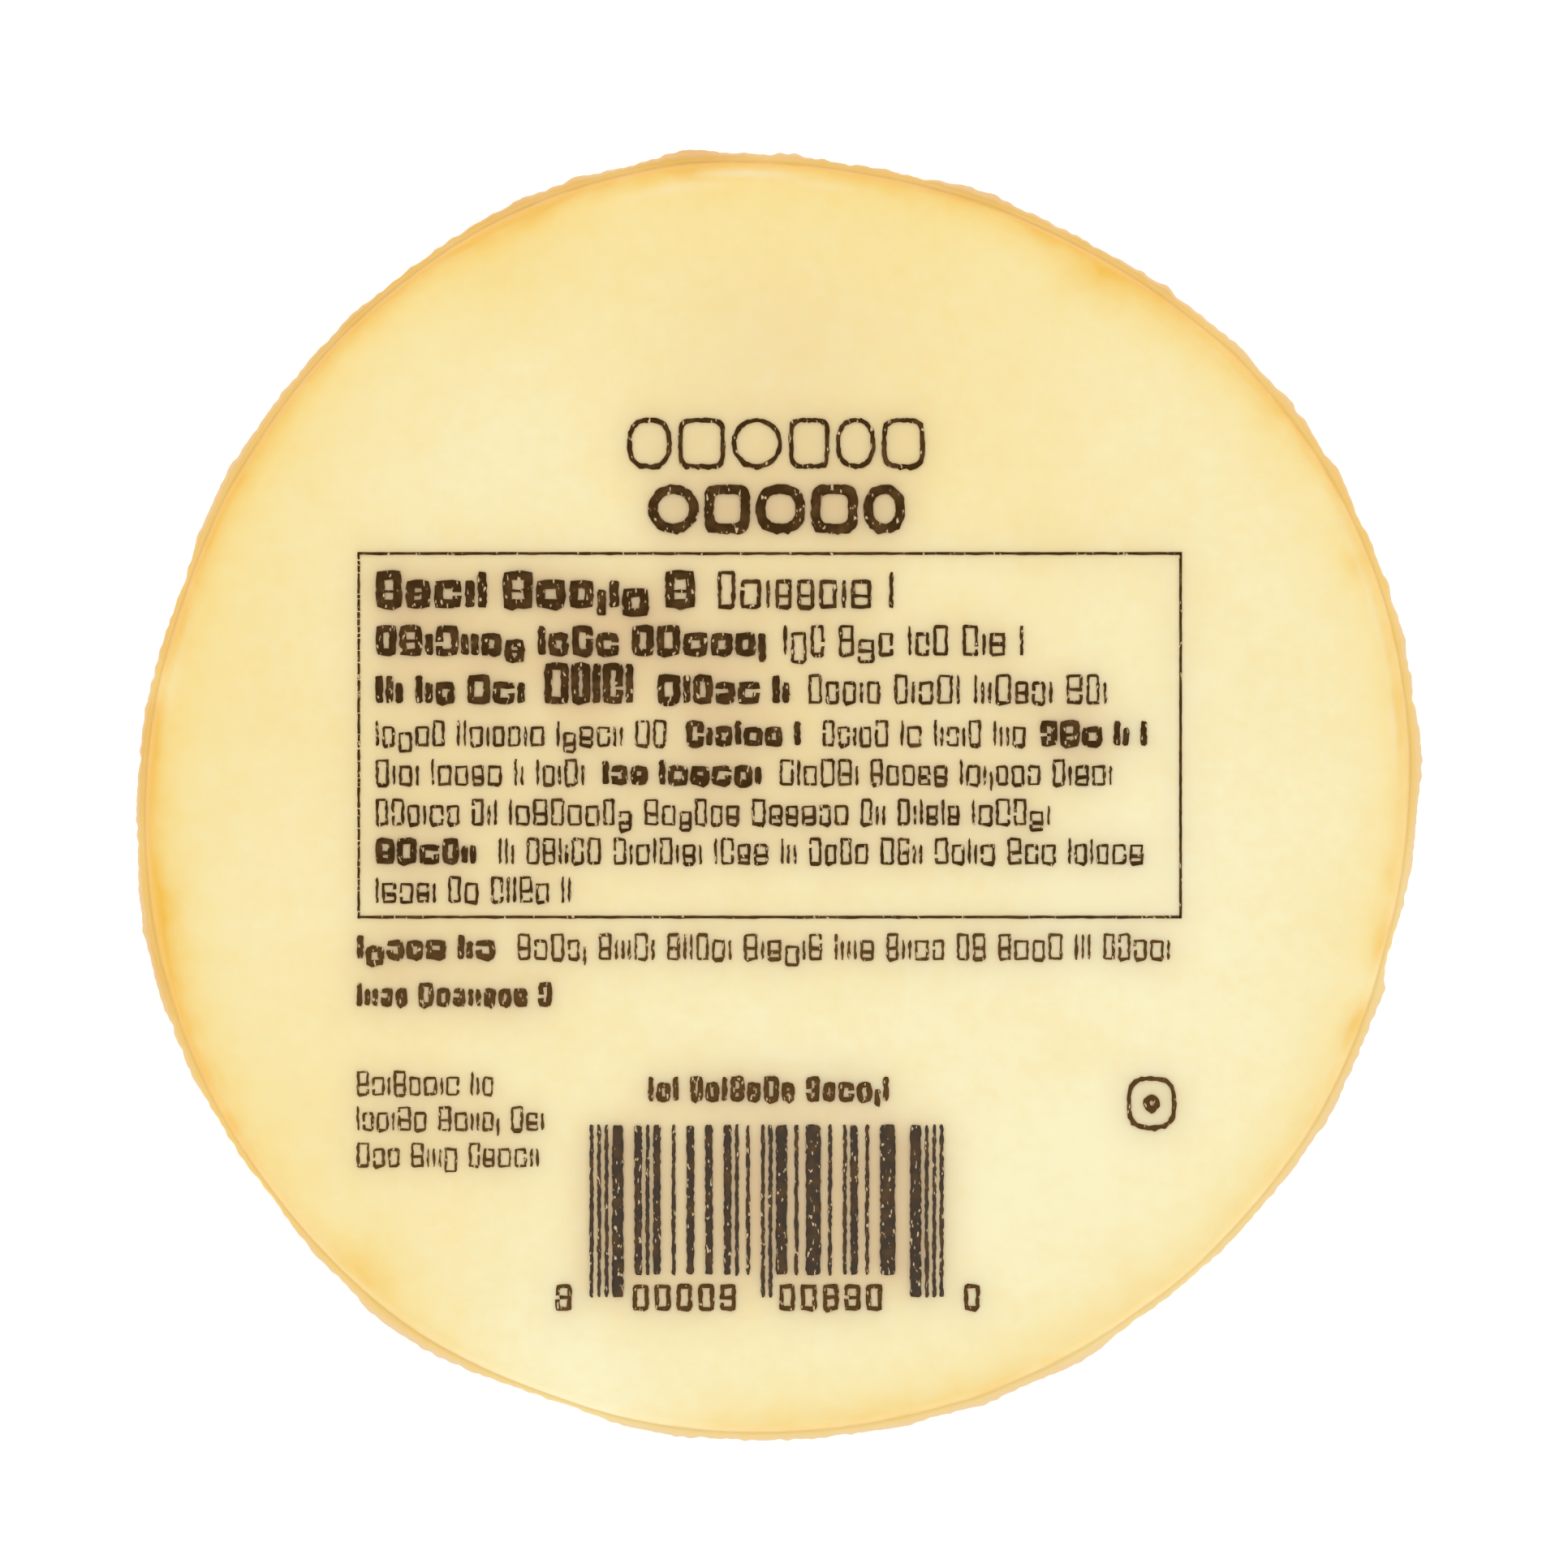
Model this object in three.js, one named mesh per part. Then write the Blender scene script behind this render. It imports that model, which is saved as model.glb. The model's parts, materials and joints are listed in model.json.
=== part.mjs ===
import * as THREE from "three";
import { mergeVertices } from "three/addons/utils/BufferGeometryUtils.js";

// A whole round of smoked gouda, sealed in tight clear film and lying with its printed face up.
// Lengths are in millimetres. Directions round the edge are in degrees, counter-clockwise from +X.

// The whole round
const diameter = 102;
const height = 26;
const edgeSteps = 180;

// The cheese under the film
const baseCorner = 4;
const wallBulge = 0.3;
const shoulderRun = 3.6;
const shoulderDrop = 2.5;
const shoulderFullness = 2.2;
const crown = 0.2;

// Gentle hollows of the face: how deep, and how long along, across and aslant
const hollowDepth = 0.12;
const hollowAlong = 70;
const hollowAcross = 88;
const hollowAslant = 50;

// The seam, a thin lip of film that runs round just under the upper shoulder
const seamReach = 0.75;
const seamThickness = 0.5;

// Shallow pleats where the film is drawn tight below the seam
const pleatCount = 26;
const pleatDepth = 0.16;

// Slow waves that take the edge out of round: how many, how far out, and towards where
const lobes = [
  { order: 2, reach: 0.33, towards: 56 },
  { order: 3, reach: 0.32, towards: 0 },
  { order: 4, reach: 0.28, towards: 26 },
  { order: 5, reach: 0.15, towards: 33 },
];

// Quick waves along the cut edge of the film
const crinkles = [
  { order: 19, reach: 0.033, towards: 15 },
  { order: 31, reach: 0.033, towards: 4 },
  { order: 43, reach: 0.033, towards: 5 },
];

// What spaces the pleats unevenly, as a shift of each pleat in radians
const pleatDrift = [
  { order: 3, reach: 1.4, towards: 22 },
  { order: 7, reach: 1, towards: 32 },
];

// Short swells and flats of the edge, and the share of them that the cheese itself has
const swells = [
  { at: 4, width: 2.5, reach: 0.24 },
  { at: 25, width: 6, reach: -0.17 },
  { at: 44, width: 1.5, reach: 0.32 },
  { at: 70, width: 2, reach: 0.22 },
  { at: 83, width: 4, reach: -0.26 },
  { at: 98, width: 2.5, reach: 0.46 },
  { at: 125, width: 5, reach: -0.3 },
  { at: 151, width: 2, reach: 0.2 },
  { at: 162, width: 4, reach: -0.34 },
  { at: 193, width: 4, reach: 0.24 },
  { at: 217, width: 6, reach: -0.42 },
  { at: 235, width: 4, reach: 0.36 },
  { at: 249, width: 4, reach: -0.45 },
  { at: 289, width: 1.5, reach: 0.26 },
  { at: 305, width: 3, reach: -0.34 },
  { at: 317, width: 4, reach: -0.22 },
  { at: 330, width: 3, reach: 0.22 },
  { at: 346, width: 3, reach: -0.28 },
];
const shareInCheese = 0.4;

const edgeRadius = diameter / 2;
const wallRadius = edgeRadius - seamReach;
const faceRadius = wallRadius - shoulderRun;
const shoulderTop = height - crown;
const shoulderFoot = shoulderTop - shoulderDrop;
const seamHeight = shoulderFoot - seamThickness / 2;
const wallTop = seamHeight - seamThickness;

const { clamp, degToRad, euclideanModulo, lerp, radToDeg, smoothstep } = THREE.MathUtils;

function sumOfWaves(waves, direction) {
  return waves.reduce((sum, wave) => {
    return sum + wave.reach * Math.cos(wave.order * degToRad(direction - wave.towards));
  }, 0);
}

function swellReach(direction) {
  return swells.reduce((sum, swell) => {
    const away = euclideanModulo(direction - swell.at + 180, 360) - 180;
    return sum + swell.reach * Math.exp(-0.5 * (away / swell.width) ** 2);
  }, 0);
}

// How far a pleat draws the wall in, from nothing to the full depth
function pleatIn(direction) {
  const phase = pleatCount * degToRad(direction) + sumOfWaves(pleatDrift, direction);
  return pleatDepth * (1 + Math.cos(phase));
}

// How far the face stands above its crown
function hollow(x, y) {
  const along = Math.sin((2 * Math.PI * x) / hollowAlong + 0.8);
  const across = Math.cos((2 * Math.PI * y) / hollowAcross - 0.5);
  const aslant = Math.sin((2 * Math.PI * (x + y)) / hollowAslant + 2.1);
  return (hollowDepth * (along * across + aslant)) / 2;
}

// Half of the round's section, from the middle of the base to the middle of the face
function section() {
  const base = new THREE.EllipseCurve(
    wallRadius - baseCorner, baseCorner, baseCorner, baseCorner, -Math.PI / 2, 0,
  );
  const wall = [0.3, 0.6, 0.85].map((share) => {
    const bulge = wallBulge * Math.sin(Math.PI * share);
    return new THREE.Vector2(wallRadius + bulge, lerp(baseCorner, wallTop, share));
  });
  const lip = [
    new THREE.Vector2(wallRadius, wallTop),
    new THREE.Vector2(edgeRadius - 0.2 * seamReach, seamHeight - 0.5 * seamThickness),
    new THREE.Vector2(edgeRadius, seamHeight),
    new THREE.Vector2(edgeRadius - 0.25 * seamReach, seamHeight + 0.4 * seamThickness),
  ];
  const shoulder = [0, 0.2, 0.42, 0.66, 1].map((share) => {
    const turn = (share * Math.PI) / 2;
    const run = shoulderRun * Math.cos(turn) ** (2 / shoulderFullness);
    const rise = shoulderDrop * Math.sin(turn) ** (2 / shoulderFullness);
    return new THREE.Vector2(faceRadius + run, shoulderFoot + rise);
  });
  const face = [0.88, 0.68, 0.46, 0.22].map(
    (share) => new THREE.Vector2(faceRadius * share, height - crown * share ** 2),
  );
  const middleOfBase = new THREE.Vector2(0, 0);
  const middleOfFace = new THREE.Vector2(0, height);
  return [middleOfBase, ...base.getPoints(4), ...wall, ...lip, ...shoulder, ...face, middleOfFace];
}

// Takes the turned shape out of round, with a crinkled seam, pleats and a gently hollowed face
function makeUneven(geometry) {
  const position = geometry.attributes.position;
  const point = new THREE.Vector3();
  for (let i = 0; i < position.count; i += 1) {
    point.fromBufferAttribute(position, i);
    const radius = Math.hypot(point.x, point.y);
    const out = radius / edgeRadius;
    const direction = radToDeg(Math.atan2(point.y, point.x));
    const inSeam = clamp((radius - wallRadius - wallBulge) / (seamReach - wallBulge), 0, 1);
    const onWall = out > 0.98 && point.z < seamHeight - 0.6 * seamThickness;
    let grown = radius + lobeShare(direction, out) + swellShare(direction, out, inSeam);
    grown += sumOfWaves(crinkles, direction) * inSeam;
    if (onWall) grown -= pleatIn(direction) * smoothstep(point.z, baseCorner, wallTop);
    const scale = radius > 0 ? grown / radius : 1;
    const lift = hollow(point.x, point.y) * smoothstep(point.z, shoulderFoot, shoulderTop);
    position.setXYZ(i, point.x * scale, point.y * scale, point.z + lift);
  }
}

function lobeShare(direction, out) {
  return sumOfWaves(lobes, direction) * out;
}

function swellShare(direction, out, inSeam) {
  return swellReach(direction) * lerp(shareInCheese * out ** 4, 1, inSeam);
}

function wrappedRound() {
  const turned = new THREE.LatheGeometry(section(), edgeSteps);
  turned.deleteAttribute("normal");
  turned.deleteAttribute("uv");
  const geometry = mergeVertices(turned.rotateX(Math.PI / 2));
  makeUneven(geometry);
  geometry.computeBoundingBox();
  const middle = geometry.boundingBox.getCenter(new THREE.Vector3());
  geometry.translate(-middle.x, -middle.y, 0);
  geometry.computeVertexNormals();
  return geometry;
}

const butterYellow = new THREE.MeshStandardMaterial({
  color: 0xf9e6b0,
  roughness: 0.38,
  metalness: 0,
});

const round = new THREE.Mesh(wrappedRound(), butterYellow);
round.name = "wrapped_round";

const group = new THREE.Group();
group.add(round);

export default group;
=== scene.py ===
import collections
import functools
import json
import math
import random

import bmesh
import bpy
from bpy.props import FloatProperty, FloatVectorProperty, IntProperty, PointerProperty
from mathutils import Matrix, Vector, noise

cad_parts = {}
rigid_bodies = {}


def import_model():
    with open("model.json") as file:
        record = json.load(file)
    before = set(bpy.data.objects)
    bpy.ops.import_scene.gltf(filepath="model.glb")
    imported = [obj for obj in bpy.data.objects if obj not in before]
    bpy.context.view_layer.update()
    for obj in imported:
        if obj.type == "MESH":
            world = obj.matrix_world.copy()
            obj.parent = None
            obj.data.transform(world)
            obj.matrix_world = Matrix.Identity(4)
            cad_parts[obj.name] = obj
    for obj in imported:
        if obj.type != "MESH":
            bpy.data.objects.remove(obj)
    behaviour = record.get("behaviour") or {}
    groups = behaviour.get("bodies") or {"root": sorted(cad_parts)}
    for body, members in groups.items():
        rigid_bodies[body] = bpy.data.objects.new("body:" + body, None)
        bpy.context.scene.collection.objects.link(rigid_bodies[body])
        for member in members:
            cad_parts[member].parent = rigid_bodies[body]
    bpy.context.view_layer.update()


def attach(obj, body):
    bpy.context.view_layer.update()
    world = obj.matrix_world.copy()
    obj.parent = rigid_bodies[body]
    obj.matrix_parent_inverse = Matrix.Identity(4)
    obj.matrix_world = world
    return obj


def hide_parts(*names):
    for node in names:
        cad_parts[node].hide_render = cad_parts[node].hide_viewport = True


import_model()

# A whole round of smoked gouda, sealed in tight clear film and lying with its printed face up.
# The cheese, the film round it and the brown print between them are made in metres, +Z up.

bl_info = {
    "name": "Smoked gouda round",
    "version": (1, 0, 0),
    "blender": (4, 5, 0),
    "location": "3D View > Sidebar > Gouda",
    "description": "Makes a film-wrapped round of smoked gouda with a printed face, and its stage",
    "category": "Add Mesh",
}

MM = 0.001
# Points that lie closer than this are merged
MERGE = 0.002 * MM
# The solid that the film replaces, and its body
NODE = "wrapped_round"
BODY = "root"

# The photograph's frame: pixels along its side, pixels to a mm at the edge of the round,
# and where its middle lies from the middle of the round, in mm
FRAME_PIXELS = 1932
PIXELS_PER_MM = 15.52
FRAME_MIDDLE = (0.73, 1.10)
# The camera's focal length and the width of its sensor in mm
FOCAL_LENGTH, SENSOR_WIDTH = 150, 36
# How far out and how high the softboxes stand, and how wide they are, in metres
LIGHT_OUT, LIGHT_HEIGHT, LIGHT_WIDTH = 0.62, 0.65, 0.8
# How far the sweep reaches in metres, and the glow that keeps it white in the shade
SWEEP_REACH, SWEEP_GLOW = 3, 0.33

# Rings across the face and steps round a quarter, of the cheese and of the film
CHEESE_RINGS, CHEESE_STEPS = 64, 120
FILM_RINGS, FILM_STEPS = 22, 300
# Steps up the base's corner, the wall and the shoulder, and those that the fillet takes up
CORNER_STEPS, WALL_STEPS, SHOULDER_STEPS, FILLET_STEPS = 8, 9, 24, 4
# Rings of the flat base, as shares of its width
BASE_RINGS = (0, 0.25, 0.5, 0.72, 0.88, 0.96)
# Sections of the film's seam, of the cheese inside it and of the fillet over both: out from the wall
# as shares of the seam's reach, and up from the seam's middle as shares of its thickness
FILM_SEAM = (
    (0.45, -0.75), (0.8, -0.4), (0.96, -0.2), (1, 0), (0.92, 0.12), (0.7, 0.3), (0.56, 0.4), (0.4, 0.54),
)
CHEESE_SEAM = ((0.13, -0.55), (0.27, -0.16), (0.36, 0.1), (0.34, 0.4))
FILLET = ((0.23, 0.82), (0.08, 1.22), (-0.05, 1.66))
# How full the shoulder is: 2 would be a plain oval
SHOULDER_FULLNESS = 2.2
# Gentle hollows of the face along, across and aslant: length in mm and shift in radians
HOLLOWS = ((70, 0.8), (88, -0.5), (50, 2.1))

# Slow waves that take the edge out of round: how many, how far out in mm, and towards which degrees
LOBES = ((2, 0.33, 56), (3, 0.32, 0), (4, 0.28, 26), (5, 0.15, 33))
# Quick waves along the cut edge of the film
CRINKLES = ((19, 0.033, 15), (31, 0.033, 4), (43, 0.033, 5))
# What spaces the pleats unevenly, as a shift of each pleat in radians
PLEAT_DRIFT = ((3, 1.4, 22), (7, 1.0, 32))
# Short swells and flats of the edge: direction and half width in degrees, reach in mm
SWELLS = (
    (4, 2.5, 0.24), (25, 6, -0.17), (44, 1.5, 0.32), (70, 2, 0.22), (83, 4, -0.26), (98, 2.5, 0.46),
    (125, 5, -0.3), (151, 2, 0.2), (162, 4, -0.34), (193, 4, 0.24), (217, 6, -0.42), (235, 4, 0.36),
    (249, 4, -0.45), (289, 1.5, 0.26), (305, 3, -0.34), (317, 4, -0.22), (330, 3, 0.22), (346, 3, -0.28),
)
# The share of the swells that the cheese itself has
SHARE_IN_CHEESE = 0.4
# Steps round the solid, from which the middle of its box is worked out
SOLID_STEPS = 180
# The share of the edge's radius past which points lie on the wall
WALL_SHARE = 0.98
# How far below the seam's middle the wall ends and the film starts to lie double,
# and how far above the shoulder's foot that ends, as shares of the seam's thickness
WALL_END, DOUBLE_START, DOUBLE_END = 0.6, 0.95, 1.4

# How far in from the wall, in mm, the seam starts to fray and is fully frayed, the wall starts to
# fold and is fully folded, and the film is smooth again
FRAYING, FOLDING, SMOOTH_DEPTH = (-0.2, -0.7), (0.2, -0.1), 4
# How the seam's trimmed edge wanders, in layers of noise: reach in mm, fineness and layer
RAGGED = ((0.1, 18, 3), (0.16, 75, 5))
# Nicks in its torn stretches, which are more at the top: reach in mm, and fineness and layer of both
NICK_REACH, NICKS, TORN, TORN_AT_TOP = 0.35, (32, 7), (6, 9), 0.35
# How far the seam sways up and down in mm, with fineness and layer
SWAY_REACH, SWAY = 0.16, (7, 11)
# Fine folds of the film on the wall: depth in mm, fineness and length in mm
FOLD_DEPTH, FOLD_FINENESS, FOLD_LENGTH = 0.1, 30, 9

# How strong the smoke is in the film's seam: its mean, how far it varies, and where it is strongest
SEAM_SMOKE = (0.4, 0.25, 108)
# Spots where it is stronger or weaker still: direction and half width in degrees
SEAM_SPOTS = (
    (97.5, 2, 0.35), (90.5, 2.5, -0.12), (45, 8, -0.12), (150, 9, -0.08), (352, 4, -0.2), (315, 25, -0.1),
    (253, 8, -0.18), (342.5, 1.5, -0.15), (300, 2.5, -0.1), (112, 2.5, 0.12), (52, 2.5, 0.12), (175, 4, 0.1),
    (196, 3, 0.15), (169.5, 1.5, -0.2), (15, 5, -0.1),
)
# Flaps of film that stand out further than the rest: direction and half width in degrees, reach in mm
FLAPS = (
    (342.5, 1.1, 0.3), (2, 1.6, 0.16), (299.5, 2.2, 0.28), (30.5, 0.8, 0.15), (69.8, 0.5, 0.2),
    (88.5, 1, 0.15), (52.7, 0.6, 0.14), (232, 1.5, 0.15),
)
# Where the smoke has crept further into the face, or less far: direction and half width in degrees
RIM_SMOKE = (
    (90, 18, -0.15), (200, 14, 0.2), (227, 14, -0.4), (310, 25, -0.24), (14, 14, -0.15), (253, 8, -0.35),
)
# Smoke in the rim all round, and more where the seam is smoked past a least value: strength, depth in mm
SMOKE_FROM_RIM, SMOKE_FROM_SEAM, LEAST_SEAM_SMOKE = (0.85, 3), (1.1, 0.5), 0.22
# Painted light past the wall, where the lip shades the cheese's ridge: what is left of the rim's smoke there,
# from and to how far in that changes in mm, and what is left further down
LIGHTENED_RIDGE_SMOKE, PAST_WALL, SMOKE_ON_WALL = 0.7, (-0.2, 0.1), 0.75
# The brown crust at the rim: strength and depth in mm, and how far in it ends and is full on the base
CRUST_AT_RIM, CRUST_ON_BASE = (0.85, 0.45), (3, 0.5)
# How far below the shoulder's foot the wall is fully smoked, and how far above it that ends
WALL_SMOKE_DOWN, WALL_SMOKE_UP = 3 * MM, 0.5 * MM
# How far in from the wall the patches and veils of the rim reach, in mm
RIM_DEPTH = 6
# Patches of smoke along the rim, or paler ones below nought: direction and half width in degrees,
# how far in from the wall and half width in mm, strength
RIM_PATCHES = (
    (353, 0.7, 1.2, 0.4, 0.1), (346, 1.6, 0.3, 0.5, 0.2), (338.7, 1.4, 0.5, 0.7, 0.22),
    (13.3, 1.6, 0.8, 0.35, 0.15), (6, 2, 0.9, 0.35, 0.15), (59.5, 1.6, 1.6, 1.3, 0.13),
    (64, 1, 0.2, 0.5, 0.15), (119, 1.8, 0.3, 0.6, 0.2), (112.5, 2.5, 0.5, 1.1, 0.2),
    (155.5, 1.7, 0.1, 0.3, 0.25), (150, 1.3, 0.4, 0.4, 0.15), (176, 3, 0.5, 0.6, 0.12),
    (211, 1.2, 0.3, 0.4, 0.12), (195, 3, 0.2, 0.5, 0.12), (289.5, 1, 0.1, 0.3, 0.15),
    (342.5, 1.5, 0.8, 1.5, -0.25), (169.5, 1.5, 0.3, 1.2, -0.3), (29, 3.5, 1.2, 0.8, -0.15),
    (253, 7, 0.8, 2.5, -0.35),
)
# Amber patches of smoke: x, y and radius in mm, strength
AMBER_PATCHES = (
    (-49.4, -8.9, 2.0, 0.34), (26.5, 41, 3, 0.2), (-33, -38.6, 2.4, 0.42), (-20, 42, 4.5, 0.15),
    (46, 18.7, 0.9, 0.22), (49, 7.9, 0.8, 0.18), (-6.8, 49.9, 0.9, 0.4), (-10, 49.2, 0.8, 0.2),
)
# The face's tone at its middle, and how it changes with each mm to the right and upwards
FACE_TONE = (0.6, 0.00275, -0.0042)
# Clouds in the face: x, y and radius in mm, and how much paler (or, below nought, richer)
CLOUDS = (
    (-24, 25, 9, 0.22), (13, 30, 7, -0.22), (21, -25, 14, 0.17), (28, -3, 9, 0.2), (-31, -28, 7, -0.2),
    (0, 46, 9, -0.25), (-19, -45, 6, 0.2), (34, 22, 8, 0.1), (-38, 12, 8, -0.12), (24, -20, 3, -0.25),
)
# Painted shade: soft tan patches round the print, x, y and radii across and up in mm, strength
PRINT_SHADE_PATCHES = ((0, 34, 6.5, 5, 0.2), (-2, 6, 27, 13, 0.06), (-1, -31, 13, 8, 0.05))
# Painted shade round the ink, for the light that the ink keeps from the cheese: the side of the cells in
# which the ink is counted, how far it spreads, and its strength and most
CELL, BLUR = 0.5 * MM, 1.5 * MM
INK_SHADE, INK_MOST = 1.85, 0.8
# What is noted on each point of the cheese
NOTES = ("tone", "cast", "smoke", "rind", "veil", "hidden")

# Painted sheen: pale streaks that stand in for the film's highlight where it stands off the shoulder:
# direction and half width in degrees, how far in from the wall and half width in mm, strength
PAINTED_SHEENS = (
    (92.5, 3.2, 0.95, 0.24, 0.5), (86, 2.4, 1.5, 0.25, 0.2), (99, 3, 1.9, 0.35, 0.3),
    (16, 3, 1.15, 0.2, 0.25), (7, 2.2, 1.25, 0.22, 0.35), (23, 3, 0.95, 0.2, 0.15),
    (168, 4, 1.2, 0.3, 0.2), (118, 8, 0.9, 0.2, 0.1), (43, 7, 1.0, 0.2, 0.1),
    (214, 9, 0.9, 0.2, 0.1), (305, 12, 1.0, 0.2, 0.1), (334, 7, 1.1, 0.2, 0.12),
)

# Two heading rows of plain rings: left end and foot, height, stroke and space in mm,
# and the width of each ring in mm with its fullness
HEADINGS = (
    (-11.65, 26.0, 4.0, 0.36, 0.52, ((3.5, 2.6), (3.7, 6), (4.0, 2), (3.2, 5), (3.1, 2.4), (3.4, 4))),
    (-10.0, 20.9, 3.85, 0.76, 0.45, ((4.0, 2), (3.6, 5), (3.9, 2.5), (3.7, 4), (3.3, 2.2))),
)
# The ruled panel: left, foot, width, height and line width in mm
PANEL = (-32.95, -9.51, 65.1, 28.92, 0.21)
# The block of stripes: left end, foot and height in mm, a module in mm and how many there are,
# and how far the stripes at its ends and middle hang down
STRIPES = (-14.6, -37.75, 12.0, 0.294, 95, 1.75)
# Runs of small marks under the stripes: left end and how many, and their pitch and foot,
# and width, height and stroke, in mm
UNDER_STRIPES = ((-17.3, 1), (-11.2, 5), (0.35, 5), (14.95, 1))
UNDER_PITCH, UNDER_FOOT, UNDER_SIZE = 1.72, -40.5, (1.25, 2.1, 0.34)
# The small mark at the right, a ring in a ring: left, foot, width, height and stroke in mm, and fullness
ROUND_MARK = ((27.8, -26.2, 3.9, 4.2, 0.34, 3), (29.1, -24.8, 1.3, 1.4, 0.5, 2))
# Rows of print: left end, foot and height in mm, and runs of marks as weight and length
PANEL_ROWS = (
    (-31.5, 14.95, 3.0, (("bold", 25.8), ("light", 14))),
    (-31.5, 11.2, 2.45, (("bold", 31), ("light", 19.2))),
    (-31.5, 7.4, 2.35, (("bold", 12.1), ("tall", 7.75), ("bold", 10.7), ("light", 24))),
    (-31.5, 4.05, 2.1, (("light", 23.3), ("bold", 9.6), ("light", 16), ("bold", 8.65))),
    (-31.5, 0.97, 2.1, (("light", 16.7), ("bold", 12.8), ("light", 26.6))),
    (-31.5, -2.17, 2.1, (("light", 53.5),)),
    (-31.5, -5.25, 2.1, (("bold", 8.5), ("light", 51.1))),
    (-31.5, -8.3, 2.1, (("light", 15.4),)),
)
LOWER_ROWS = (
    (-33, -12.8, 2.1, (("bold", 11.5), ("light", 51.5))),
    (-33, -16.5, 1.95, (("medium", 15.5),)),
    (-33, -23.5, 1.95, (("light", 11.9),)),
    (-33, -26.3, 1.95, (("light", 14.9),)),
    (-33, -29.15, 1.95, (("light", 14.6),)),
    (-10, -24, 2.05, (("medium", 19),)),
)
# Stroke, width and space of a mark as shares of its row's height
WEIGHTS = {
    "light": (0.1, 0.48, 0.14), "medium": (0.21, 0.54, 0.11),
    "bold": (0.24, 0.71, 0.09), "tall": (0.26, 0.74, 0.08),
}
# Space between runs in mm
RUN_SPACE = 1.2
# The pieces of the print, round which shade is painted on the cheese
PRINTED = ("panel_rows", "lower_rows", "heading_rings", "panel_rules", "stripes", "small_marks")

# Chances that a frame has a bar across its middle, and a break in its side
CROSSED, BROKEN = 0.3, 0.3
# Chances that a mark is a plain bar, and that one inside a word is tall, or hangs below its row
PLAIN, TALL, HANGING = 0.38, 0.25, 0.08
# Heights of bold tall marks and of low marks, how far a mark hangs, and the space between words,
# as shares of the row's height
TALL_HEIGHT, LOW_HEIGHT, HANG, WORD_SPACE = 1.4, 0.76, 0.22, 0.34
# Fewest and most marks in the first word of a run and in a later one
FIRST_WORD, LATER_WORD = (3, 8), (2, 8)
# Ink that has run at the foot of a bar, and of a ring: how often, and how far in wobbles
BAR_RUN, RING_RUN = (0.25, 2.5), (0.3, 4)
# Lengths of cells across a bar, across a frame or rule and up a rule, and a cell's longest round corner
BAR_CELL, FRAME_CELL, RULE_CELL, CORNER = 0.7 * MM, 0.6 * MM, 0.5 * MM, 0.5 * MM
# Modules that each stripe falls short of its full width
STRIPE_LOSS = 0.02
# The panel's rules: their share of the wobble, and the dashes and least and most gap in mm
RULE_WOBBLE, DASHES, DASH_GAP = 0.25, (0.3, 0.5, 0.9, 1.6), (0.05, 0.1)

# The kinds of shader node that are used most
MATH, MIX = "ShaderNodeMath", "ShaderNodeMix"
NOISE, MAP_RANGE = "ShaderNodeTexNoise", "ShaderNodeMapRange"

Levels = collections.namedtuple("Levels", "edge wall face top foot seam")


def linear(hex_colour):
    """An sRGB hex value as linear red, green and blue."""
    parts = [int(hex_colour[i:i + 2], 16) / 255 for i in (0, 2, 4)]
    return tuple(c / 12.92 if c <= 0.04045 else ((c + 0.055) / 1.055) ** 2.4 for c in parts)


def size(name, default, description):
    """A length in millimetres as a property in metres."""
    return FloatProperty(
        name=name, description=description, default=default * MM, unit="LENGTH", subtype="DISTANCE"
    )


def colour(name, default, description):
    """An sRGB hex value as a colour property."""
    return FloatVectorProperty(
        name=name, description=description, default=linear(default), subtype="COLOR", min=0, max=1
    )


class RoundSettings(bpy.types.PropertyGroup):
    diameter: size("Diameter", 102, "Mean width of the round, seam included")
    height: size("Height", 26, "From the base to the crown of the face")
    base_corner: size("Base corner", 4, "Radius of the corner at the base")
    wall_bulge: size("Wall bulge", 0.3, "How far the wall swells between its corners")
    shoulder_run: size("Shoulder run", 3.6, "How far in the upper shoulder starts")
    shoulder_drop: size("Shoulder drop", 2.5, "How far the upper shoulder comes down")
    crown: size("Crown", 0.2, "How far the face's middle stands above its edge")
    hollow_depth: size("Hollow depth", 0.12, "Depth of the gentle hollows in the face")
    seam_reach: size("Seam reach", 0.75, "How far the film's seam stands out from the wall")
    seam_thickness: size("Seam thickness", 0.5, "Thickness of the seam at its root")
    pleat_depth: size("Pleat depth", 0.16, "Depth of the pleats below the seam")
    pleat_count: IntProperty(name="Pleats", description="Pleats round the wall", default=26)


class CheeseSettings(bpy.types.PropertyGroup):
    straw: colour("Straw", "F9E096", "The richest part of the face")
    butter: colour("Butter", "FAE8AB", "Most of the face")
    cream: colour("Cream", "FCF3C5", "The palest part of the face")
    # Painted shade: the colour that stands for the shade the print casts into the cheese round it
    cast: colour("Cast", "DDB785", "The dull cast round the print")
    gold: colour("Gold", "F9DB6A", "Where a little smoke has crept into the face")
    amber: colour("Amber", "F5BF40", "The smoked rim of the face")
    rind: colour("Rind", "D9A45A", "The smoked wall")
    # Painted light: the pale colour of the painted sheen on the shoulder and of the lightened ridge inside
    # the seam
    veil: colour("Veil", "FBEFD0", "Where the film stands off the shoulder and looks milky")


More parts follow.
